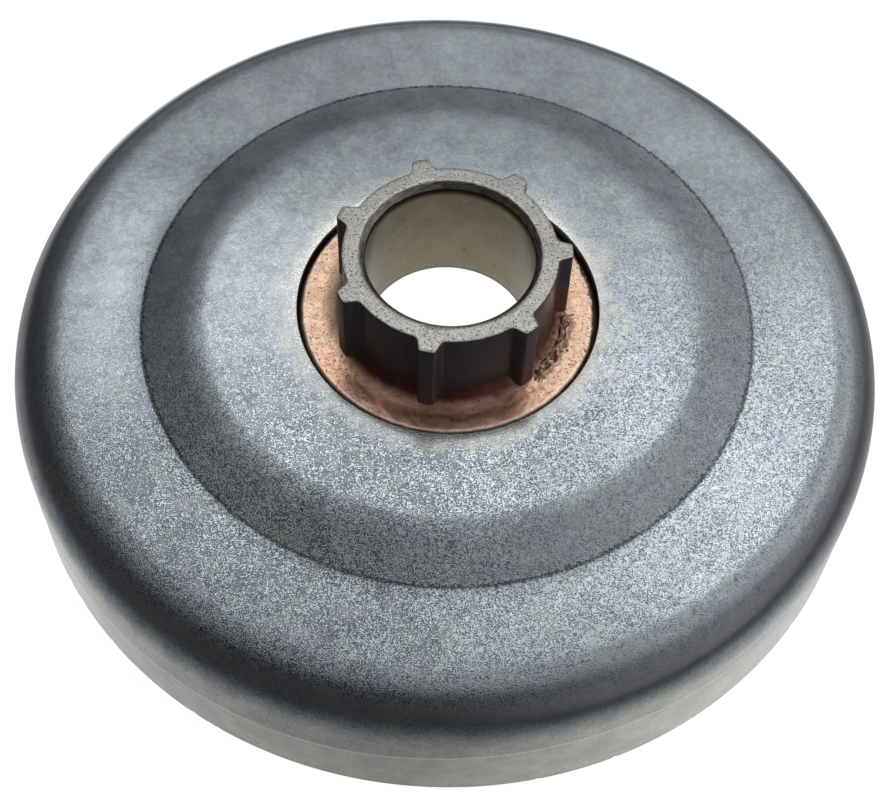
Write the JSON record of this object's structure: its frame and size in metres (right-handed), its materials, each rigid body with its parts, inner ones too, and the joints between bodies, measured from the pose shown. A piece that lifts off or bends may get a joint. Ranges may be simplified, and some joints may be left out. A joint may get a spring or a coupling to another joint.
{
  "type": "chainsaw clutch drum",
  "caption": "Shallow round clutch drum drawn from sheet steel, with a raised crown and a splined hub brazed into it with copper around an open bearing bore.",
  "frame": {"origin": "centre of the open rim's plane, on the axis of rotation", "axes": "+Z along the axis of rotation, from the open rim towards the splined end of the hub"},
  "size_m": [0.08, 0.08, 0.0236],
  "materials": {
    "cup_steel": "tumbled and phosphated sheet steel",
    "hub_steel": "blackened flanks with ground end face and bore",
    "braze_copper": "furnace-melted copper"
  },
  "bodies": {
    "root": {"drum_cup": "cup_steel", "splined_hub": "hub_steel", "copper_braze": "braze_copper"}
  },
  "joints": []
}
